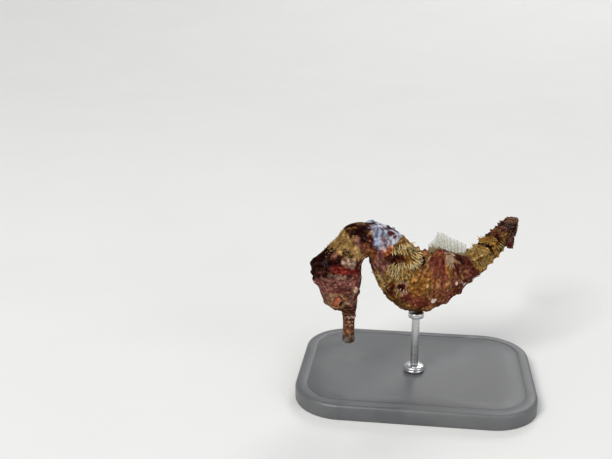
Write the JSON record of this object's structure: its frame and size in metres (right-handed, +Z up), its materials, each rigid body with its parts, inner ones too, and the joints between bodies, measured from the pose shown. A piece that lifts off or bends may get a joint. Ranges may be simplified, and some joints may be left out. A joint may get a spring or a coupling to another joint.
{
  "type": "seahorse model on a display stand",
  "caption": "Life-size seahorse with arched neck, ringed knobbly body, downward snout and loosely curled tail, held over a flat base by an upright rod.",
  "frame": {"origin": "centre of the stand base's underside, on the floor", "axes": "+X from the head towards the tail, +Y away from the animal's left side and along its swung tail, +Z up"},
  "size_m": [0.06, 0.0692, 0.0449],
  "materials": {
    "skin": "mottled rust, maroon and tan skin over bony rings, damp satin",
    "eye": "orange iris with a small black pupil, wet gloss",
    "fin": "thin rayed membrane, nearly clear",
    "stand_paint": "satin dark grey paint",
    "stand_steel": "brushed"
  },
  "bodies": {
    "root": {"mouth": "skin", "snout": "skin", "head": "skin", "coronet": "skin", "eye_left": "eye", "eye_right": "eye", "neck": "skin", "trunk_front": "skin", "trunk_middle": "skin", "trunk_rear": "skin", "tail_1": "skin", "tail_2": "skin", "tail_3": "skin", "tail_4": "skin", "tail_5": "skin", "tail_6": "skin", "dorsal_fin": "fin", "anal_fin": "fin", "pectoral_fin_left": "fin", "pectoral_fin_right": "fin", "stand_base": "stand_paint", "stand_collar": "stand_steel", "stand_rod": "stand_steel", "stand_pad": "stand_steel"}
  },
  "joints": []
}
